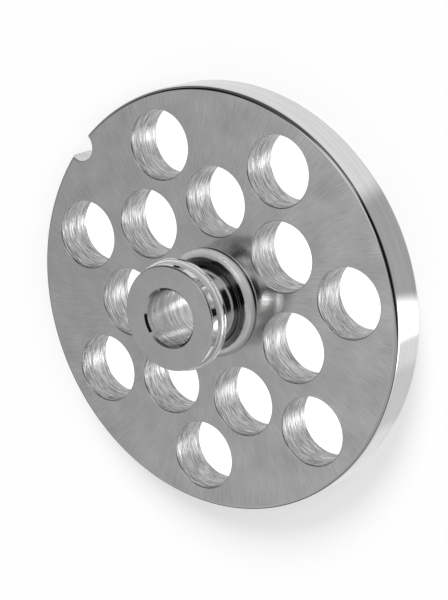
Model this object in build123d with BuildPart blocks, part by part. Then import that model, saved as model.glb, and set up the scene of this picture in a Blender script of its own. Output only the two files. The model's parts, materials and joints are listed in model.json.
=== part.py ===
from build123d import *
from math import isclose, sqrt
import os

# Meat grinder plate, turned from one piece of stainless steel.
# It lies on its flat back with the hub up. The origin is on the axis, at the back face,
# +Z points out of the hub and the locating notch is cut in the rim at +Y.
# Lengths are in millimetres and angles in degrees.

# Disc
plate_diameter = 98.4
plate_thickness = 9.0
front_rim_chamfer = 1.0
back_rim_chamfer = 0.4

# Drilled holes: an outer and an inner ring, staggered by half a pitch
hole_diameter = 16.0
hole_edge_break = 0.25  # on the front only: the back edges cut and stay sharp
holes_per_ring = 7
inner_pitch_diameter = 47.1
outer_pitch_diameter = 74.6
pattern_lag = 2.0  # the drilled pattern trails the notch by this angle

# Locating notch, cut through the rim with a round cutter
notch_radius = 3.5
notch_depth = 4.0

# Centre bore
bore_diameter = 12.8
bore_chamfer = 0.5

# Hub, with its heights measured up from the disc's front face
foot_diameter = 25.2
foot_height = 1.9
foot_wall = 0.2  # the foot's straight side, below its rounded edge
neck_diameter = 18.8
neck_fillet = 0.6
bead_height = 11.75  # to the middle of the bead
bead_radius = 2.3
bead_back_depth = 2.05  # from the bead's middle down to its flat back
land_diameter = 24.0
land_step = 0.75  # how far the bead stands out past the land above it
collar_height = 3.65  # from the bead's middle up to the hub's top
collar_edge_chamfer = 0.35

# Places that follow from the sizes above
plate_radius = plate_diameter / 2
hole_radius = hole_diameter / 2
bore_radius = bore_diameter / 2
foot_radius = foot_diameter / 2
neck_radius = neck_diameter / 2
land_radius = land_diameter / 2
foot_round = foot_height - foot_wall
bead_diameter = land_diameter + 2 * land_step
bead_back_height = bead_height - bead_back_depth
hub_height = bead_height + collar_height
front_face = plate_thickness
foot_top = front_face + foot_height
bead_back = front_face + bead_back_height
bead_level = front_face + bead_height
hub_top = front_face + hub_height
bead_centre = bead_diameter / 2 - bead_radius
bead_back_reach = bead_centre + sqrt(bead_radius**2 - bead_back_depth**2)
land_start = bead_level + sqrt(bead_radius**2 - (bead_radius - land_step) ** 2)
notch_direction = 90.0
pitch_angle = 360.0 / holes_per_ring
inner_start = notch_direction - pattern_lag
outer_start = inner_start + pitch_angle / 2


def circles_of(part, radius):
    """Every circular edge of the given radius."""
    rings = part.edges().filter_by(GeomType.CIRCLE)
    return rings.filter_by(lambda edge: isclose(edge.radius, radius, abs_tol=1e-4))


with BuildPart() as grinder_plate:
    # The half section of the disc and its hub, turned about the axis
    with BuildSketch(Plane.XZ):
        with BuildLine():
            Polyline(
                (0, hub_top),
                (0, 0),
                (plate_radius, 0),
                (plate_radius, front_face),
                (foot_radius, front_face),
                (foot_radius, foot_top - foot_round),
            )
            RadiusArc(
                (foot_radius, foot_top - foot_round),
                (foot_radius - foot_round, foot_top),
                -foot_round,
            )
            Line((foot_radius - foot_round, foot_top), (neck_radius + neck_fillet, foot_top))
            RadiusArc(
                (neck_radius + neck_fillet, foot_top),
                (neck_radius, foot_top + neck_fillet),
                neck_fillet,
            )
            Polyline(
                (neck_radius, foot_top + neck_fillet),
                (neck_radius, bead_back),
                (bead_back_reach, bead_back),
            )
            RadiusArc((bead_back_reach, bead_back), (land_radius, land_start), -bead_radius)
            Polyline(
                (land_radius, land_start),
                (land_radius, hub_top - collar_edge_chamfer),
                (land_radius - collar_edge_chamfer, hub_top),
                (0, hub_top),
            )
        make_face()
    revolve(axis=Axis.Z)

    # The rim's chamfer is wide in front and a bare edge break behind
    rim = circles_of(grinder_plate, plate_radius).sort_by(Axis.Z)
    chamfer(rim[0], back_rim_chamfer)
    chamfer(rim[-1], front_rim_chamfer)

    # The centre bore runs through the disc and the hub
    with BuildSketch():
        Circle(bore_radius)
    extrude(amount=hub_top, mode=Mode.SUBTRACT)
    chamfer(circles_of(grinder_plate, bore_radius), bore_chamfer)

    # Two staggered rings of holes
    with BuildSketch():
        with PolarLocations(inner_pitch_diameter / 2, holes_per_ring, start_angle=inner_start):
            Circle(hole_radius)
        with PolarLocations(outer_pitch_diameter / 2, holes_per_ring, start_angle=outer_start):
            Circle(hole_radius)
    extrude(amount=plate_thickness, mode=Mode.SUBTRACT)
    hole_edges = circles_of(grinder_plate, hole_radius).group_by(Axis.Z)
    chamfer(hole_edges[-1], hole_edge_break)

    # The locating notch
    with BuildSketch():
        with PolarLocations(plate_radius - notch_depth + notch_radius, 1, start_angle=notch_direction):
            Circle(notch_radius)
    extrude(amount=plate_thickness, mode=Mode.SUBTRACT)

grinder_plate.part.label = "grinder_plate"

os.makedirs("parts", exist_ok=True)
export_step(grinder_plate.part, "parts/grinder_plate.step")
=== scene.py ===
"""A meat grinder plate: one turned, drilled and ground piece of stainless steel."""
import json
from math import atan2, cos, degrees, hypot, pi, radians, sin, sqrt

import bpy
from mathutils import Matrix, Vector


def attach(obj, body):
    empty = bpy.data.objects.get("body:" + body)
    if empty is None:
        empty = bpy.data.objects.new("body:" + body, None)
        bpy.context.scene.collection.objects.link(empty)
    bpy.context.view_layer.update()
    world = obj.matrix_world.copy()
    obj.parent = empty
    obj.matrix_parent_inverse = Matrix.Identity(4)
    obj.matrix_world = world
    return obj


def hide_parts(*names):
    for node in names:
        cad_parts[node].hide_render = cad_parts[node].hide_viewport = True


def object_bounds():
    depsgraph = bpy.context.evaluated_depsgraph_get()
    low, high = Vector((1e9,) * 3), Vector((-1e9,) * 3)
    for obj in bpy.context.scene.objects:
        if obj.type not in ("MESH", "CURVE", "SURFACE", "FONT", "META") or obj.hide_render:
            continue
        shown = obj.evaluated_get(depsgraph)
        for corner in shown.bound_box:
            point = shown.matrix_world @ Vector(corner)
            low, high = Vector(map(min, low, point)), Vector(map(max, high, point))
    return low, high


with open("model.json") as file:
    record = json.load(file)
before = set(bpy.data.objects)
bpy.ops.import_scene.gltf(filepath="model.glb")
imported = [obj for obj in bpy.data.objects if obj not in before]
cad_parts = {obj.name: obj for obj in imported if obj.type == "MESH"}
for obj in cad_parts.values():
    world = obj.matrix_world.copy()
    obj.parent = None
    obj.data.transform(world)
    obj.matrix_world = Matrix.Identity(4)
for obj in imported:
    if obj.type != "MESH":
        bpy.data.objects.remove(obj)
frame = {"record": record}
cad_low, cad_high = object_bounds()
record = frame["record"]
MM = 0.001

# ---------------------------------------------------------------------------
# Sizes, in metres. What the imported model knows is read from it.

mounts = {mount["name"]: mount for mount in record["mounts"]}
openings = {opening["name"]: opening["box_m"] for opening in record["physics"]["openings"]}


def opening_centre(name):
    """The middle of an opening's box, seen from above."""
    low, high = openings[name]
    return Vector(((low[0] + high[0]) / 2, (low[1] + high[1]) / 2))


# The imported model's facets reach less far on some sides: the smallest reach keeps this plate in its box
plate_radius = min(cad_high.x, -cad_low.x, -cad_low.y)
front_face = mounts["ring_seat"]["pos_m"][2]
hub_top = cad_high.z
bore_radius = mounts["centre_bore"]["dims"]["r_mm"] * MM
holes_per_ring = sum(name.startswith("inner_hole") for name in openings)
first_inner_hole = opening_centre("inner_hole_1")
inner_pitch_radius = first_inner_hole.length
outer_pitch_radius = opening_centre("outer_hole_1").length
inner_start = atan2(first_inner_hole.y, first_inner_hole.x)
outer_start = inner_start + pi / holes_per_ring

hole_radius = 8.0 * MM
hole_edge_round = 0.25 * MM
notch_radius = 3.5 * MM
notch_depth = 4.0 * MM
notch_centre = plate_radius - notch_depth + notch_radius
notch_edge_round = 0.15 * MM
front_rim_round = 1.0 * MM
back_rim_round = 0.4 * MM
bore_chamfer = 0.5 * MM

# Hub, with heights measured up from the front face
foot_radius = 12.6 * MM
foot_height = 1.9 * MM
foot_round = 1.7 * MM
neck_radius = 9.4 * MM
neck_fillet = 0.6 * MM
bead_reach = 12.75 * MM
bead_radius = 2.3 * MM
bead_height = 11.75 * MM
bead_back_height = 9.7 * MM
land_radius = 12.0 * MM
collar_edge_round = 0.35 * MM

# The same heights, measured up from the back
foot_top = front_face + foot_height
bead_level = front_face + bead_height
bead_back = front_face + bead_back_height

# Where the hub's finishes, and its painted shade in the creases round the foot, begin and end
satin_setback = 0.15 * MM  # outward of where the foot's round starts
rubbed_start = 0.2 * MM  # above the bead's widest level
rubbed_end = 1.7 * MM  # above the same level
# The next three place painted shade: a dark band in the crease where the neck meets the foot's top, and a
# thin dark line round the foot's base
painted_shade_spread = 0.5 * MM  # outward of the neck's fillet
painted_shade_drop = 0.2 * MM  # below the foot's top
painted_shade_line_height = 0.3 * MM  # above the front face, up the foot's side

# Tolerances for telling surfaces apart. The last two are how far up or down a face's normal points.
hair = 0.01 * MM
wall_slack = 0.03 * MM
flat_facing = 0.9995
upright_facing = 0.2

# Mesh fineness, with steps counted round each arc of the half section
turning_segments = 360
hole_segments = 112
edge_steps = 6
rim_steps = 10
foot_steps = 14
neck_steps = 8
bead_steps = 20
support = 0.05 * MM
sharp_bend = radians(28)

# Aids to modelling: the circle that the half section is swept on, and the cutters' extra length
turning_radius = 10.0 * MM
cutter_overrun = 1.0 * MM


# ---------------------------------------------------------------------------
# Node helpers

# Half of the step from one whole number to the next, for telling counts apart
HALF_COUNT = 0.5


def put(tree, kind, inputs=None, **settings):
    """Add a node, set its properties, and set or link its inputs."""
    node = tree.nodes.new(kind)
    for name, value in settings.items():
        setattr(node, name, value)
    for key, value in (inputs or {}).items():
        if isinstance(value, bpy.types.NodeSocket):
            tree.links.new(value, node.inputs[key])
        else:
            node.inputs[key].default_value = value
    return node


def calc(tree, operation, *values):
    """The result of one maths node."""
    node = put(tree, "ShaderNodeMath", dict(enumerate(values)), operation=operation)
    return node.outputs[0]


def vector_calc(tree, operation, *values, output=0):
    """The result of one vector maths node."""
    node = put(tree, "ShaderNodeVectorMath", dict(enumerate(values)), operation=operation)
    return node.outputs[output]


def combine(tree, x, y, z):
    return put(tree, "ShaderNodeCombineXYZ", {"X": x, "Y": y, "Z": z}).outputs[0]


def separate(tree, vector):
    return put(tree, "ShaderNodeSeparateXYZ", {0: vector}).outputs


def length(tree, vector):
    return vector_calc(tree, "LENGTH", vector, output="Value")


def mapped(tree, value, low, high, to_low=0.0, to_high=1.0, smooth=False):
    """Value, taken from one range to another and held inside it."""
    node = put(
        tree,
        "ShaderNodeMapRange",
        {"Value": value, "From Min": low, "From Max": high, "To Min": to_low, "To Max": to_high},
        clamp=True,
        interpolation_type="SMOOTHSTEP" if smooth else "LINEAR",
    )
    return node.outputs["Result"]


def below(tree, value, limit):
    return calc(tree, "LESS_THAN", value, limit)


def above(tree, value, limit):
    return calc(tree, "GREATER_THAN", value, limit)


def all_of(tree, *masks):
    """Where every one of the masks is 1."""
    joined = masks[0]
    for mask in masks[1:]:
        joined = calc(tree, "MULTIPLY", joined, mask)
    return joined


def new_tree(name, kind, inputs, outputs):
    """A node group with named sockets, and its input and output nodes."""
    tree = bpy.data.node_groups.new(name, kind)
    for socket_name, socket_type, value in inputs:
        socket = tree.interface.new_socket(socket_name, in_out="INPUT", socket_type=socket_type)
        if value is not None:
            socket.default_value = value
    for socket_name, socket_type in outputs:
        tree.interface.new_socket(socket_name, in_out="OUTPUT", socket_type=socket_type)
    return tree, tree.nodes.new("NodeGroupInput").outputs, tree.nodes.new("NodeGroupOutput").inputs


# ---------------------------------------------------------------------------
# The half section, as a closed loop of (radius, height)


def arc(centre, radius, start, end, steps=edge_steps):
    """Points round an arc of the half section, from angle start to angle end in degrees."""
    angles = [radians(start + (end - start) * step / steps) for step in range(steps + 1)]
    return [(centre[0] + radius * cos(angle), centre[1] + radius * sin(angle)) for angle in angles]


def between(start, end):
    """Support points close to each end of a straight run."""
    run = (end[0] - start[0], end[1] - start[1])
    near = support / hypot(*run)
    return [(start[0] + run[0] * share, start[1] + run[1] * share) for share in (near, 1 - near)]


def chain(*runs):
    """Join runs of points, adding supported straight runs between them, and close the loop."""
    shortest_run = 3 * support
    points = []
    for index, run in enumerate(runs):
        following = runs[(index + 1) % len(runs)]
        points += run
        if hypot(following[0][0] - run[-1][0], following[0][1] - run[-1][1]) > shortest_run:
            points += between(run[-1], following[0])
    return points


def half_section():
    """The plate's outline on one side of its axis, from the back of the bore round to its front."""
    bead_centre = bead_reach - bead_radius
    back_angle = degrees(atan2(bead_back - bead_level, sqrt(bead_radius**2 - (bead_level - bead_back) ** 2)))
    land_rise = sqrt(bead_radius**2 - (land_radius - bead_centre) ** 2)
    land_angle = degrees(atan2(land_rise, land_radius - bead_centre))
    rim_centre = (plate_radius - front_rim_round, front_face - front_rim_round)
    collar_centre = (land_radius - collar_edge_round, hub_top - collar_edge_round)
    return chain(
        [(bore_radius, bore_chamfer)],
        [(bore_radius + bore_chamfer, 0.0)],
        arc((plate_radius - back_rim_round, back_rim_round), back_rim_round, -90, 0),
        arc(rim_centre, front_rim_round, 0, 90, rim_steps),
        [(foot_radius, front_face)],
        arc((foot_radius - foot_round, foot_top - foot_round), foot_round, 0, 90, foot_steps),
        arc((neck_radius + neck_fillet, foot_top + neck_fillet), neck_fillet, 270, 180, neck_steps),
        [(neck_radius, bead_back)],
        arc((bead_centre, bead_level), bead_radius, back_angle, land_angle, bead_steps),
        arc(collar_centre, collar_edge_round, 0, 90),
        [(bore_radius + bore_chamfer, hub_top)],
        [(bore_radius, hub_top - bore_chamfer)],
    )


def section_object(name, loop):
    """A mesh of edges alone, one closed loop, which the shape tree reads as a curve."""
    edges = [(step, (step + 1) % len(loop)) for step in range(len(loop))]
    mesh = bpy.data.meshes.new(name)
    mesh.from_pydata(loop, edges, [])
    section = bpy.data.objects.new(name, mesh)
    bpy.context.scene.collection.objects.link(section)
    return section


# ---------------------------------------------------------------------------
# The shape, as Geometry Nodes: a turned body, less drilled holes and notch


def cutter_tree():
    """A cutter: a round bar whose end flares at the front face, to break the hole's edge."""
    tree, given, result = new_tree(
        "drill_cutter",
        "GeometryNodeTree",
        [
            ("Radius", "NodeSocketFloat", hole_radius),
            ("Edge round", "NodeSocketFloat", hole_edge_round),
            ("Face height", "NodeSocketFloat", front_face),
            ("Overrun", "NodeSocketFloat", cutter_overrun),
            ("Segments", "NodeSocketInt", hole_segments),
        ],
        [("Geometry", "NodeSocketGeometry")],
    )
    # Stations along the bar: below the back, a support point, the flare's arc, and above the face
    below_back = 0
    before_arc = 1
    arc_start = 2
    arc_end = arc_start + edge_steps
    station_count = arc_end + 2
    line = put(tree, "GeometryNodeCurvePrimitiveLine")
    stations = put(tree, "GeometryNodeResampleCurve", {"Curve": line.outputs[0], "Count": station_count})
    index = put(tree, "GeometryNodeInputIndex").outputs[0]

    def at_station(number):
        return calc(tree, "COMPARE", index, number, HALF_COUNT)

    angle = calc(tree, "MULTIPLY", mapped(tree, index, arc_start, arc_end), pi / 2)
    rise = calc(tree, "MULTIPLY", given["Edge round"], calc(tree, "SINE", angle))
    narrowing = calc(tree, "SUBTRACT", 1.0, calc(tree, "COSINE", angle))
    flare = calc(tree, "MULTIPLY", given["Edge round"], narrowing)
    arc_height = calc(tree, "ADD", calc(tree, "SUBTRACT", given["Face height"], given["Edge round"]), rise)
    below_arc = calc(tree, "MULTIPLY", at_station(before_arc), support)
    height = calc(tree, "SUBTRACT", arc_height, below_arc)
    to_back = calc(tree, "SUBTRACT", calc(tree, "MULTIPLY", height, -1.0), given["Overrun"])
    height = calc(tree, "ADD", height, calc(tree, "MULTIPLY", at_station(below_back), to_back))
    past_arc = above(tree, index, arc_end + HALF_COUNT)
    height = calc(tree, "ADD", height, calc(tree, "MULTIPLY", past_arc, given["Overrun"]))
    placed = put(
        tree,
        "GeometryNodeSetPosition",
        {"Geometry": stations.outputs[0], "Position": combine(tree, 0.0, 0.0, height)},
    )
    ring = put(tree, "GeometryNodeCurvePrimitiveCircle", {"Resolution": given["Segments"], "Radius": 1.0})
    bar = put(
        tree,
        "GeometryNodeCurveToMesh",
        {
            "Curve": placed.outputs[0],
            "Profile Curve": ring.outputs[0],
            "Scale": calc(tree, "ADD", given["Radius"], flare),
            "Fill Caps": True,
        },
    )
    tree.links.new(bar.outputs[0], result["Geometry"])
    return tree


def standing_cutter(tree, cutter, given, radius, edge_round):
    """One cutter of the given radius, standing on the origin."""
    node = put(tree, "GeometryNodeGroup", node_tree=cutter)
    tree.links.new(given[radius], node.inputs["Radius"])
    tree.links.new(given[edge_round], node.inputs["Edge round"])
    tree.links.new(given["Face height"], node.inputs["Face height"])
    tree.links.new(given["Hole segments"], node.inputs["Segments"])
    return node.outputs[0]


def turned_body(tree, given):
    """The half section swept round the axis, which leaves its faces inward until they are flipped."""
    section = put(tree, "GeometryNodeMeshToCurve", {"Mesh": given["Half section"]}).outputs[0]
    path = put(
        tree,
        "GeometryNodeCurvePrimitiveCircle",
        {"Resolution": given["Turning segments"], "Radius": given["Turning radius"]},
    ).outputs[0]
    swept = put(tree, "GeometryNodeCurveToMesh", {"Curve": path, "Profile Curve": section}).outputs[0]
    return put(tree, "GeometryNodeFlipFaces", {"Mesh": swept}).outputs[0]


def hole_centres(tree, given):
    """A point for each hole, round the inner ring first and then round the outer one."""
    index = put(tree, "GeometryNodeInputIndex").outputs[0]
    is_outer = above(tree, index, calc(tree, "SUBTRACT", given["Holes per ring"], HALF_COUNT))
    is_inner = calc(tree, "SUBTRACT", 1.0, is_outer)

    def by_ring(inner, outer):
        if_inner = calc(tree, "MULTIPLY", inner, is_inner)
        if_outer = calc(tree, "MULTIPLY", outer, is_outer)
        return calc(tree, "ADD", if_inner, if_outer)

    step = calc(tree, "DIVIDE", 2 * pi, given["Holes per ring"])
    start = by_ring(given["Inner start"], given["Outer start"])
    angle = calc(tree, "ADD", start, calc(tree, "MULTIPLY", index, step))
    pitch_radius = by_ring(given["Inner pitch radius"], given["Outer pitch radius"])
    centre = combine(
        tree,
        calc(tree, "MULTIPLY", pitch_radius, calc(tree, "COSINE", angle)),
        calc(tree, "MULTIPLY", pitch_radius, calc(tree, "SINE", angle)),
        0.0,
    )
    both_rings = calc(tree, "MULTIPLY", given["Holes per ring"], 2.0)
    return put(tree, "GeometryNodePoints", {"Count": both_rings, "Position": centre}).outputs[0]


def drilled_and_notched(tree, given, body, centres):
    """The body with a cutter taken out of it at each hole centre and at the notch."""
    cutter = cutter_tree()
    drills = put(
        tree,
        "GeometryNodeInstanceOnPoints",
        {
            "Points": centres,
            "Instance": standing_cutter(tree, cutter, given, "Hole radius", "Hole edge round"),
        },
    ).outputs[0]
    notcher = put(
        tree,
        "GeometryNodeSetPosition",
        {
            "Geometry": standing_cutter(tree, cutter, given, "Notch radius", "Notch edge round"),
            "Offset": combine(tree, 0.0, given["Notch centre"], 0.0),
        },
    ).outputs[0]
    for tool in (drills, notcher):
        solid = put(tree, "GeometryNodeRealizeInstances", {"Geometry": tool}).outputs[0]
        body = put(
            tree,
            "GeometryNodeMeshBoolean",
            {"Mesh 1": body, "Mesh 2": solid},
            operation="DIFFERENCE",
            solver="MANIFOLD",
        ).outputs[0]
    return put(tree, "GeometryNodeRealizeInstances", {"Geometry": body}).outputs[0]


def nearest_hole(tree, place, centres):
    """The number of the hole whose axis is nearest, and the way there from that axis."""
    x, y, _ = separate(tree, place)
    number = put(
        tree,
        "GeometryNodeSampleNearest",
        {"Geometry": centres, "Sample Position": combine(tree, x, y, 0.0)},
    ).outputs[0]
    centre = put(
        tree,
        "GeometryNodeSampleIndex",
        {"Geometry": centres, "Value": put(tree, "GeometryNodeInputPosition").outputs[0], "Index": number},
        data_type="FLOAT_VECTOR",
    ).outputs[0]
    return number, vector_calc(tree, "SUBTRACT", place, centre)


def finish_areas(tree, given, place, from_hole_axis):
    """Masks of the flat faces and of where each finish goes, painted shade in the hub's creases among them,
    in the order they are laid on.
    """
    x, y, height = separate(tree, place)
    radius = length(tree, combine(tree, x, y, 0.0))
    hole_x, hole_y, _ = separate(tree, from_hole_axis)
    hole_distance = length(tree, combine(tree, hole_x, hole_y, 0.0))
    notch_y = calc(tree, "SUBTRACT", y, given["Notch centre"])
    notch_distance = length(tree, combine(tree, x, notch_y, 0.0))
    facing = separate(tree, put(tree, "GeometryNodeInputNormal").outputs["True Normal"])[2]
    tilt = calc(tree, "ABSOLUTE", facing)
    flat = above(tree, tilt, flat_facing)
    upright = below(tree, tilt, upright_facing)

    def past(name, distance):
        return calc(tree, "ADD", given[name], distance)

    def band(inside, outside, bottom, top):
        return all_of(
            tree,
            above(tree, radius, inside),
            below(tree, radius, outside),
            above(tree, height, bottom),
            below(tree, height, top),
        )

    outside_foot = above(tree, radius, past("Foot radius", hair))
    on_foot = band(
        given["Foot crown"],
        past("Foot radius", hair),
        past("Face height", hair),
        past("Foot top", hair),
    )
    # Painted shade: the crease where the neck's fillet meets the foot's flat top
    painted_shade_in_crease = band(
        past("Neck radius", -hair),
        past("Neck radius", neck_fillet + painted_shade_spread),
        past("Foot top", -painted_shade_drop),
        past("Foot top", neck_fillet),
    )
    # Painted shade: a thin dark line where the foot meets the front face
    painted_shade_round_foot = band(
        past("Foot radius", -hair),
        past("Foot radius", hair),
        past("Face height", hair),
        past("Face height", painted_shade_line_height),
    )
    on_bead = all_of(
        tree,
        above(tree, radius, given["Neck radius"]),
        above(tree, height, given["Rubbed start"]),
        below(tree, height, given["Rubbed end"]),
    )
    return flat, {
        "satin": on_foot,
        "rubbed": on_bead,
        # Painted shade in the creases, laid on as a dark steel tone
        "corner": calc(tree, "MAXIMUM", painted_shade_in_crease, painted_shade_round_foot),
        "ground": all_of(tree, flat, outside_foot, above(tree, height, past("Face height", -hair))),
        "lapped": all_of(tree, flat, below(tree, height, hair)),
        "faced": all_of(tree, flat, above(tree, height, past("Hub top", -hair))),
        "drilled": all_of(tree, upright, below(tree, hole_distance, past("Hole radius", wall_slack))),
        "reamed": all_of(tree, upright, below(tree, radius, past("Bore radius", hair))),
        "milled": all_of(tree, upright, below(tree, notch_distance, past("Notch radius", wall_slack))),
    }


def shaded(tree, body, flat):
    """The body with its flat faces shaded flat, and the rest smooth up to its sharp edges."""
    rounded = calc(tree, "SUBTRACT", 1.0, flat)
    bend = put(tree, "GeometryNodeInputMeshEdgeAngle").outputs["Unsigned Angle"]
    for domain, smooth in (("FACE", rounded), ("EDGE", below(tree, bend, sharp_bend))):
        body = put(
            tree,
            "GeometryNodeSetShadeSmooth",
            {"Geometry": body, "Shade Smooth": smooth},
            domain=domain,
        ).outputs[0]
    return body


def stored(tree, body, name, value, data_type):
    """The body with a value kept on it as a named attribute."""
    node = put(
        tree,
        "GeometryNodeStoreNamedAttribute",
        {"Geometry": body, "Name": name, "Value": value},
        data_type=data_type,
    )
    return node.outputs[0]


def shape_tree(sizes, finishes):
    """The whole plate: turned from its half section, drilled, notched and given its finishes."""
    size_inputs = [
        (name, "NodeSocketInt" if isinstance(value, int) else "NodeSocketFloat", value)
        for name, value in sizes.items()
    ]
    tree, given, result = new_tree(
        "turned_and_drilled",
        "GeometryNodeTree",
        [("Half section", "NodeSocketGeometry", None)] + size_inputs,
        [("Geometry", "NodeSocketGeometry")],
    )
    centres = hole_centres(tree, given)
    body = drilled_and_notched(tree, given, turned_body(tree, given), centres)
    place = put(tree, "GeometryNodeInputPosition").outputs[0]
    hole_number, from_hole_axis = nearest_hole(tree, place, centres)
    flat, areas = finish_areas(tree, given, place, from_hole_axis)
    body = shaded(tree, body, flat)
    body = stored(tree, body, "from_hole_axis", from_hole_axis, "FLOAT_VECTOR")
    body = stored(tree, body, "hole_number", hole_number, "FLOAT")
    dressed = put(tree, "GeometryNodeSetMaterial", {"Geometry": body, "Material": finishes["polished"]})
    for finish, area in areas.items():
        dressed = put(
            tree,
            "GeometryNodeSetMaterial",
            {"Geometry": dressed.outputs[0], "Selection": area, "Material": finishes[finish]},
        )
    tree.links.new(dressed.outputs[0], result["Geometry"])
    return tree


def build_plate(finishes):
    """Runs the shape tree once and keeps its result as a plain mesh."""
    sizes = {
        "Turning radius": turning_radius,
        "Turning segments": turning_segments,
        "Face height": front_face,
        "Hub top": hub_top,
        "Foot radius": foot_radius,
        "Foot top": foot_top,
        "Foot crown": foot_radius - foot_round + satin_setback,
        "Neck radius": neck_radius,
        "Rubbed start": bead_level + rubbed_start,
        "Rubbed end": bead_level + rubbed_end,
        "Bore radius": bore_radius,
        "Holes per ring": holes_per_ring,
        "Inner pitch radius": inner_pitch_radius,
        "Outer pitch radius": outer_pitch_radius,
        "Inner start": inner_start,
        # Outer holes are numbered on from the inner ring's, which adds a full turn to their angles
        "Outer start": outer_start - 2 * pi,
        "Hole radius": hole_radius,
        "Hole edge round": hole_edge_round,
        "Hole segments": hole_segments,
        "Notch centre": notch_centre,
        "Notch radius": notch_radius,
        "Notch edge round": notch_edge_round,
    }
    plate = section_object(
        "turned_plate", [(radius - turning_radius, -height, 0.0) for radius, height in half_section()]
    )
    modifier = plate.modifiers.new("turned_and_drilled", "NODES")
    modifier.node_group = shape_tree(sizes, finishes)
    for item in modifier.node_group.interface.items_tree:
        if item.in_out == "INPUT" and item.name in sizes:
            modifier[item.identifier] = sizes[item.name]
    depsgraph = bpy.context.evaluated_depsgraph_get()
    mesh = bpy.data.meshes.new_from_object(
        plate.evaluated_get(depsgraph), preserve_all_data_layers=True, depsgraph=depsgraph
    )
    plate.modifiers.clear()
    outline = plate.data
    plate.data = mesh
    bpy.data.meshes.remove(outline)
    mesh.name = plate.name
    # The outline's empty material slot comes first
    while mesh.materials[0] is None:
        mesh.materials.pop(index=0)
    return plate


# ---------------------------------------------------------------------------
# Effects shared by the finishes, as shader node groups

# The run of the noise that is stretched to 0..1 and cut off outside: the narrower, the crisper
SOFT_LIMITS = (0.3, 0.7)
CRISP_LIMITS = (0.38, 0.62)
MARK_ROUGHNESS = 0.6
STREAK_DETAIL = 3.0

# What sets each hole's marks apart from the last one's: a turn, whose sine is its share of the
# slant, and a shift of its noise
SLANT_TURN = 2.4
HOLE_SHIFT = 13.7


def noise(tree, vector, limits, detail=2.0, roughness=0.5):
    """Noise of unit scale at a vector, whose own scale sets the size of the marks."""
    node = put(
        tree,
        "ShaderNodeTexNoise",
        {"Vector": vector, "Scale": 1.0, "Detail": detail, "Roughness": roughness},
        noise_dimensions="3D",
    )
    return mapped(tree, node.outputs[0], *limits)


def grinding_group():
    """Fine streaks out from the axis, a little curved, and slow clouding across them."""
    tree, given, result = new_tree(
        "grinding_streaks",
        "ShaderNodeTree",
        [
            ("Place", "NodeSocketVector", None),
            ("Streaks round", "NodeSocketFloat", 175.0),
            ("Streak length", "NodeSocketFloat", 0.009),
            ("Curl", "NodeSocketFloat", 4.0),
            ("Cloud size", "NodeSocketFloat", 0.012),
        ],
        [("Streaks", "NodeSocketFloat"), ("Clouds", "NodeSocketFloat")],
    )
    x, y, _ = separate(tree, given["Place"])
    flat = combine(tree, x, y, 0.0)
    radius = length(tree, flat)
    bearing = vector_calc(tree, "NORMALIZE", flat)
    turned = put(
        tree,
        "ShaderNodeVectorRotate",
        {"Vector": bearing, "Angle": calc(tree, "MULTIPLY", radius, given["Curl"])},
        rotation_type="Z_AXIS",
    ).outputs[0]
    turned_x, turned_y, _ = separate(tree, turned)
    along = calc(tree, "DIVIDE", radius, given["Streak length"])
    fine = combine(
        tree,
        calc(tree, "MULTIPLY", turned_x, given["Streaks round"]),
        calc(tree, "MULTIPLY", turned_y, given["Streaks round"]),
        along,
    )
    tree.links.new(noise(tree, fine, SOFT_LIMITS, STREAK_DETAIL, MARK_ROUGHNESS), result["Streaks"])
    cloud_scale = calc(tree, "DIVIDE", 1.0, given["Cloud size"])
    broad = put(tree, "ShaderNodeVectorMath", {0: flat, "Scale": cloud_scale}, operation="SCALE")
    tree.links.new(noise(tree, broad.outputs[0], SOFT_LIMITS), result["Clouds"])
    return tree


def cutting_group():
    """Marks that a tool leaves round an axis: long across it, short along it, with torn flecks."""
    tree, given, result = new_tree(
        "cutting_marks",
        "ShaderNodeTree",
        [
            ("Place", "NodeSocketVector", None),
            ("Number", "NodeSocketFloat", 0.0),
            ("Mark length", "NodeSocketFloat", 0.005),
            ("Mark width", "NodeSocketFloat", 0.0003),
            ("Slant", "NodeSocketFloat", 0.0),
        ],
        [("Marks", "NodeSocketFloat"), ("Flecks", "NodeSocketFloat")],
    )
    x, y, z = separate(tree, given["Place"])
    turn = calc(tree, "SINE", calc(tree, "MULTIPLY", given["Number"], SLANT_TURN))
    lean = calc(tree, "MULTIPLY", given["Slant"], turn)
    leant = calc(tree, "ADD", z, calc(tree, "MULTIPLY", y, lean))
    shift = calc(tree, "MULTIPLY", given["Number"], HOLE_SHIFT)
    # Each output's length and width, as shares of a mark's, and its detail
    for output, longer, wider, detail in (("Marks", 1.0, 1.0, 2.0), ("Flecks", 0.4, 1.6, 4.0)):
        mark_length = calc(tree, "MULTIPLY", given["Mark length"], longer)
        mark_width = calc(tree, "MULTIPLY", given["Mark width"], wider)
        place = combine(
            tree,
            calc(tree, "ADD", calc(tree, "DIVIDE", x, mark_length), shift),
            calc(tree, "DIVIDE", y, mark_length),
            calc(tree, "DIVIDE", leant, mark_width),
        )
        tree.links.new(noise(tree, place, CRISP_LIMITS, detail, MARK_ROUGHNESS), result[output])
    return tree


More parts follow.
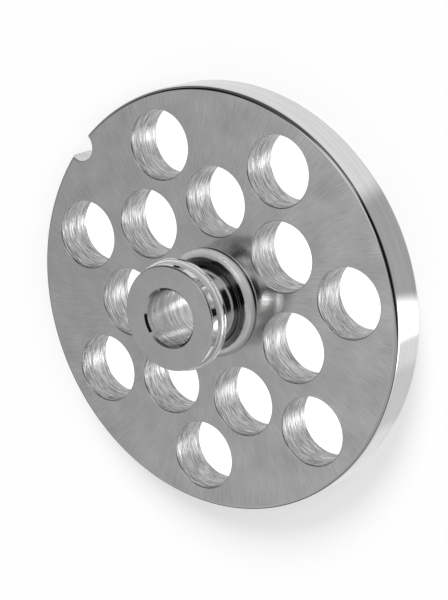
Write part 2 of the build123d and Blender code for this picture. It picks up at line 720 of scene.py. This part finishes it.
def finish_group():
    """Turns marks and clouds into the tone and the gloss of the steel: where it is dark it is dull."""
    tree, given, result = new_tree(
        "steel_finish",
        "ShaderNodeTree",
        [
            ("Marks", "NodeSocketFloat", 0.5),
            ("Clouds", "NodeSocketFloat", 0.5),
            ("Clouding", "NodeSocketFloat", 0.3),
            ("Dark tone", "NodeSocketColor", (0.7, 0.7, 0.7, 1.0)),
            ("Light tone", "NodeSocketColor", (0.8, 0.8, 0.8, 1.0)),
            ("Glossy", "NodeSocketFloat", 0.2),
            ("Dull", "NodeSocketFloat", 0.3),
        ],
        [("Tone", "NodeSocketColor"), ("Roughness", "NodeSocketFloat")],
    )
    marks = calc(tree, "MULTIPLY", given["Marks"], calc(tree, "SUBTRACT", 1.0, given["Clouding"]))
    share = calc(tree, "ADD", marks, calc(tree, "MULTIPLY", given["Clouds"], given["Clouding"]))
    # A Mix node's colours are its inputs 6 and 7, and its output 2
    tone = put(
        tree,
        "ShaderNodeMix",
        {"Factor": share, 6: given["Dark tone"], 7: given["Light tone"]},
        data_type="RGBA",
    )
    tree.links.new(tone.outputs[2], result["Tone"])
    tree.links.new(mapped(tree, share, 0.0, 1.0, given["Dull"], given["Glossy"]), result["Roughness"])
    return tree


# --------------------------------------------------------------------------- Finishes of the steel, and painted shade for the hub's creases
# Finishes of the steel

STEEL_BLUE = 0.995
QUARTER_TURN = 0.25


def grey(level):
    """A grey with the steel's trace of warmth: its blue is a little lower."""
    return (level, level, level * STEEL_BLUE, 1.0)


def steel(
    name, effect, values, dark, light, clouding, glossy, dull,
    groove=0.0, by_hole=False, grain=0.0, metallic=1.0,
):
    """One finish: an effect's marks set tone, gloss and, if groove isn't 0, relief of that depth.

    Grain is how far highlights are drawn out across marks that run round an axis. Metallic under 1
    gives a matt turned surface its share of light scattered every way.
    """
    material = bpy.data.materials.new(name)
    material.use_nodes = True
    tree = material.node_tree
    tree.nodes.clear()
    pattern = put(tree, "ShaderNodeGroup", values, node_tree=effect)
    if by_hole:
        place = put(tree, "ShaderNodeAttribute", attribute_name="from_hole_axis").outputs["Vector"]
        number = put(tree, "ShaderNodeAttribute", attribute_name="hole_number").outputs["Fac"]
        tree.links.new(number, pattern.inputs["Number"])
    else:
        place = put(tree, "ShaderNodeTexCoord").outputs["Object"]
    tree.links.new(place, pattern.inputs["Place"])
    finish = put(
        tree,
        "ShaderNodeGroup",
        {
            "Marks": pattern.outputs[0],
            "Clouds": pattern.outputs[1],
            "Clouding": clouding,
            "Dark tone": grey(dark),
            "Light tone": grey(light),
            "Glossy": glossy,
            "Dull": dull,
        },
        node_tree=finish_effect,
    )
    shader = put(
        tree,
        "ShaderNodeBsdfPrincipled",
        {
            "Base Color": finish.outputs["Tone"],
            "Roughness": finish.outputs["Roughness"],
            "Metallic": metallic,
        },
    )
    if groove:
        relief = put(
            tree, "ShaderNodeBump", {"Height": pattern.outputs[0], "Strength": 1.0, "Distance": groove}
        )
        tree.links.new(relief.outputs[0], shader.inputs["Normal"])
    if grain:
        shader.inputs["Anisotropic"].default_value = grain
        shader.inputs["Anisotropic Rotation"].default_value = QUARTER_TURN
        x, y, _ = separate(tree, place)
        tree.links.new(combine(tree, calc(tree, "MULTIPLY", y, -1.0), x, 0.0), shader.inputs["Tangent"])
    output = put(tree, "ShaderNodeOutputMaterial")
    tree.links.new(shader.outputs[0], output.inputs["Surface"])
    return material


grinding = grinding_group()
cutting = cutting_group()
finish_effect = finish_group()
finishes = {
    "polished": steel(
        "polished_turning",
        cutting,
        {"Mark length": 0.030, "Mark width": 0.0006},
        dark=0.72, light=0.84, clouding=0.3, glossy=0.05, dull=0.10,
    ),
    "satin": steel(
        "satin_turning",
        cutting,
        {"Mark length": 0.020, "Mark width": 0.0005},
        dark=0.66, light=0.94, clouding=0.3, glossy=0.26, dull=0.42, grain=0.8, metallic=0.74,
    ),
    "rubbed": steel(
        "rubbed_bead",
        cutting,
        {"Mark length": 0.020, "Mark width": 0.0004},
        dark=0.74, light=0.95, clouding=0.3, glossy=0.15, dull=0.26, grain=0.6, metallic=0.80,
    ),
    # Painted shade: a near-black steel tone laid where shade falls in the hub's creases
    "corner": steel(
        "dark_corner",
        cutting,
        {"Mark length": 0.020, "Mark width": 0.0005},
        dark=0.12, light=0.36, clouding=0.4, glossy=0.12, dull=0.22,
    ),
    "ground": steel(
        "ground_face",
        grinding,
        {"Streaks round": 210.0, "Streak length": 0.004, "Curl": 4.0, "Cloud size": 0.009},
        dark=0.60, light=0.95, clouding=0.45, glossy=0.07, dull=0.21, groove=0.003 * MM,
    ),
    "lapped": steel(
        "lapped_back",
        grinding,
        {"Streaks round": 140.0, "Streak length": 0.014, "Curl": 18.0, "Cloud size": 0.016},
        dark=0.64, light=0.86, clouding=0.3, glossy=0.18, dull=0.30, groove=0.002 * MM,
    ),
    "faced": steel(
        "faced_collar",
        grinding,
        {"Streaks round": 60.0, "Streak length": 0.004, "Curl": 40.0, "Cloud size": 0.006},
        dark=0.70, light=0.86, clouding=0.6, glossy=0.16, dull=0.24,
    ),
    "drilled": steel(
        "drilled_wall",
        cutting,
        {"Mark length": 0.0035, "Mark width": 0.00015, "Slant": 0.10},
        dark=0.22, light=1.0, clouding=0.2, glossy=0.28, dull=0.46, groove=0.03 * MM,
        by_hole=True, grain=0.85,
    ),
    "reamed": steel(
        "reamed_bore",
        cutting,
        {"Mark length": 0.007, "Mark width": 0.0004, "Slant": 0.2},
        dark=0.46, light=0.84, clouding=0.3, glossy=0.18, dull=0.32, groove=0.008 * MM, grain=0.7,
    ),
    "milled": steel(
        "milled_notch",
        cutting,
        {"Mark length": 0.002, "Mark width": 0.0004},
        dark=0.62, light=0.84, clouding=0.4, glossy=0.22, dull=0.34, groove=0.006 * MM,
    ),
}

plate = build_plate(finishes)
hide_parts("grinder_plate")
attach(plate, "root")


# ---------------------------------------------------------------------------
# Studio: a pale floor, soft patches all round, two lamps and a camera. Angles are in degrees. The
# camera's azimuth is taken from +X, and all others from the camera's.

aim = Vector((3.37, -2.14, 9.0)) * MM
camera_distance = 438.45 * MM
camera_azimuth = -23.32
camera_elevation = 50.75
camera_roll = 111.43
camera_lens = 117.288
camera_sensor = 36.0

# The surroundings: this level, with patches laid over it, each over those before it
STUDIO_BASE = 0.50
# Azimuth, half width, soft sides, lowest, highest, soft ends, level
STUDIO_PATCHES = [
    (105.0, 62.0, 12.0, 70.0, 90.0, 6.0, 1.2),  # bright, nearly overhead
    (-90.0, 70.0, 12.0, 82.0, 90.0, 6.0, 0.12),  # dark, overhead
    (180.0, 26.0, 14.0, 30.0, 62.0, 10.0, 0.46),  # grey, on the far side
    (-150.0, 14.0, 18.0, 20.0, 75.0, 10.0, 0.58),  # lighter grey, on the far side
    (180.0, 40.0, 10.0, 58.0, 78.0, 8.0, 0.62),  # lighter grey, high on the far side
    (110.0, 36.0, 12.0, 32.0, 60.0, 10.0, 0.01),  # black, at one side
    (65.0, 36.0, 10.0, -10.0, 55.0, 8.0, 0.10),  # dark, between that side and the camera
    (38.0, 16.0, 6.0, 42.0, 76.0, 8.0, 0.62),  # light strip, high beside the camera
    (-12.0, 31.0, 7.0, -10.0, 76.0, 5.0, 0.01),  # black, behind the camera
    (0.0, 180.0, 0.1, -10.0, 14.0, 10.0, 0.17),  # dark band, all round the horizon
    (0.0, 180.0, 0.1, -90.0, -12.0, 8.0, 1.05),  # white, all round below the horizon
    (-95.0, 14.0, 10.0, -90.0, -12.0, 8.0, 0.85),  # a little dimmer, below at the other side
    (-44.0, 11.0, 7.0, -90.0, -12.0, 8.0, 3.0),  # very bright strip, below beside the camera
]
# A grey card on the floor beside the plate, in the same terms as seen from the axis
FLOOR_CARD = (-4.0, 12.0, 7.0, -1.0, 1.0, 1.0, 0.44)

floor_half_width = 3.0
floor_level = -0.02 * MM
floor_tone = 0.35
floor_glow = 0.505
glow_under_plate = 0.475
under_plate_from = plate_radius - 1.0 * MM
under_plate_full = plate_radius - 2.0 * MM


def towards(azimuth, elevation):
    """The direction of an azimuth, taken from the camera's, and an elevation."""
    azimuth = radians(camera_azimuth + azimuth)
    elevation = radians(elevation)
    return Vector((cos(elevation) * cos(azimuth), cos(elevation) * sin(azimuth), sin(elevation)))


def patch(tree, direction, azimuth, half_width, soft_sides, low, high, soft_ends):
    """A soft-edged patch of the surroundings: 1 inside it and 0 outside."""
    x, y, z = separate(tree, direction)
    middle = radians(camera_azimuth + azimuth)
    middle_x = cos(middle)
    middle_y = sin(middle)
    ahead = calc(tree, "ADD", calc(tree, "MULTIPLY", x, middle_x), calc(tree, "MULTIPLY", y, middle_y))
    aside = calc(tree, "SUBTRACT", calc(tree, "MULTIPLY", y, middle_x), calc(tree, "MULTIPLY", x, middle_y))
    turn = calc(tree, "ABSOLUTE", calc(tree, "ARCTAN2", aside, ahead))
    across = mapped(tree, turn, radians(half_width), radians(half_width + soft_sides), 1.0, 0.0, smooth=True)
    rise = calc(tree, "ARCSINE", z)
    above_low = mapped(tree, rise, radians(low - soft_ends), radians(low), smooth=True)
    below_high = mapped(tree, rise, radians(high), radians(high + soft_ends), 1.0, 0.0, smooth=True)
    return calc(tree, "MULTIPLY", across, calc(tree, "MULTIPLY", above_low, below_high))


def laid_over(tree, level, mask, new_level):
    """Level, faded to new_level where the mask is 1."""
    # A Mix node's plain values are its inputs 2 and 3
    node = put(tree, "ShaderNodeMix", {0: mask, 2: level, 3: new_level}, data_type="FLOAT", clamp_factor=True)
    return node.outputs[0]


def studio_light():
    """The surroundings, which the camera itself sees as plain white."""
    world = bpy.data.worlds.new("studio")
    world.use_nodes = True
    tree = world.node_tree
    tree.nodes.clear()
    direction = put(tree, "ShaderNodeTexCoord").outputs["Generated"]
    level = STUDIO_BASE
    for *extent, patch_level in STUDIO_PATCHES:
        level = laid_over(tree, level, patch(tree, direction, *extent), patch_level)
    seen = put(tree, "ShaderNodeLightPath").outputs["Is Camera Ray"]
    strength = laid_over(tree, level, seen, 1.0)
    background = put(tree, "ShaderNodeBackground", {"Strength": strength})
    output = put(tree, "ShaderNodeOutputWorld")
    tree.links.new(background.outputs[0], output.inputs["Surface"])
    # Only rays that happen to meet the surroundings carry their light: they aren't sampled as a lamp
    world.cycles.sampling_method = "NONE"
    bpy.context.scene.world = world


def soft_lamp(name, azimuth, elevation, energy, spread):
    """A broad far lamp, which the steel doesn't mirror."""
    light = bpy.data.lights.new(name, "SUN")
    light.energy = energy
    light.angle = radians(spread)
    lamp = bpy.data.objects.new(name, light)
    bpy.context.scene.collection.objects.link(lamp)
    lamp.rotation_euler = towards(azimuth, elevation).to_track_quat("Z", "Y").to_euler()
    lamp.visible_glossy = False


def floor_material():
    """A pale floor that glows a little, and more under the plate.

    Glossy rays go through it to the surroundings beyond, or meet one grey card beside the plate.
    """
    material = bpy.data.materials.new("pale_floor")
    material.use_nodes = True
    tree = material.node_tree
    tree.nodes.clear()
    x, y, _ = separate(tree, put(tree, "ShaderNodeTexCoord").outputs["Object"])
    flat = combine(tree, x, y, 0.0)
    under_plate = mapped(tree, length(tree, flat), under_plate_full, under_plate_from, 1.0, 0.0)
    glow = calc(tree, "ADD", floor_glow, calc(tree, "MULTIPLY", under_plate, glow_under_plate))
    shader = put(
        tree,
        "ShaderNodeBsdfPrincipled",
        {
            "Base Color": (floor_tone, floor_tone, floor_tone, 1.0),
            "Roughness": 1.0,
            "Specular IOR Level": 0.0,
            "Emission Color": (1.0, 1.0, 1.0, 1.0),
            "Emission Strength": glow,
        },
    )
    beyond = put(tree, "ShaderNodeBsdfTransparent")
    *card_extent, card_level = FLOOR_CARD
    card_mask = patch(tree, flat, *card_extent)
    card_mask = calc(tree, "MULTIPLY", card_mask, calc(tree, "SUBTRACT", 1.0, under_plate))
    card = put(tree, "ShaderNodeEmission", {"Strength": card_level})
    mirrored = put(tree, "ShaderNodeMixShader", {0: card_mask, 1: beyond.outputs[0], 2: card.outputs[0]})
    glossy = put(tree, "ShaderNodeLightPath").outputs["Is Glossy Ray"]
    whole = put(tree, "ShaderNodeMixShader", {0: glossy, 1: shader.outputs[0], 2: mirrored.outputs[0]})
    output = put(tree, "ShaderNodeOutputMaterial")
    tree.links.new(whole.outputs[0], output.inputs["Surface"])
    material.cycles.emission_sampling = "NONE"
    return material


def studio_floor():
    """A wide flat floor, just below the plate's back."""
    corners = [
        (side_x * floor_half_width, side_y * floor_half_width, floor_level)
        for side_x, side_y in ((-1, -1), (1, -1), (1, 1), (-1, 1))
    ]
    mesh = bpy.data.meshes.new("floor")
    mesh.from_pydata(corners, [], [(0, 1, 2, 3)])
    mesh.materials.append(floor_material())
    floor = bpy.data.objects.new("floor", mesh)
    bpy.context.scene.collection.objects.link(floor)


def place_camera():
    """The camera, looking at the aim and rolled about its line of sight."""
    back = towards(0.0, camera_elevation)
    level_right = (-back).cross(Vector((0.0, 0.0, 1.0))).normalized()
    level_up = level_right.cross(-back)
    roll = radians(camera_roll)
    up = level_up * cos(roll) + level_right * sin(roll)
    right = up.cross(back)
    lens = bpy.data.cameras.new("camera")
    lens.lens = camera_lens
    lens.sensor_width = camera_sensor
    camera = bpy.data.objects.new("camera", lens)
    bpy.context.scene.collection.objects.link(camera)
    turn = Matrix((right, up, back)).transposed().to_4x4()
    camera.matrix_world = Matrix.Translation(aim + back * camera_distance) @ turn
    bpy.context.scene.camera = camera


studio_light()
soft_lamp("shadow_light", azimuth=66.0, elevation=36.0, energy=3.6, spread=30.0)
soft_lamp("fill_light", azimuth=0.0, elevation=45.0, energy=2.0, spread=50.0)
studio_floor()
place_camera()
bpy.context.scene.view_settings.view_transform = "Standard"
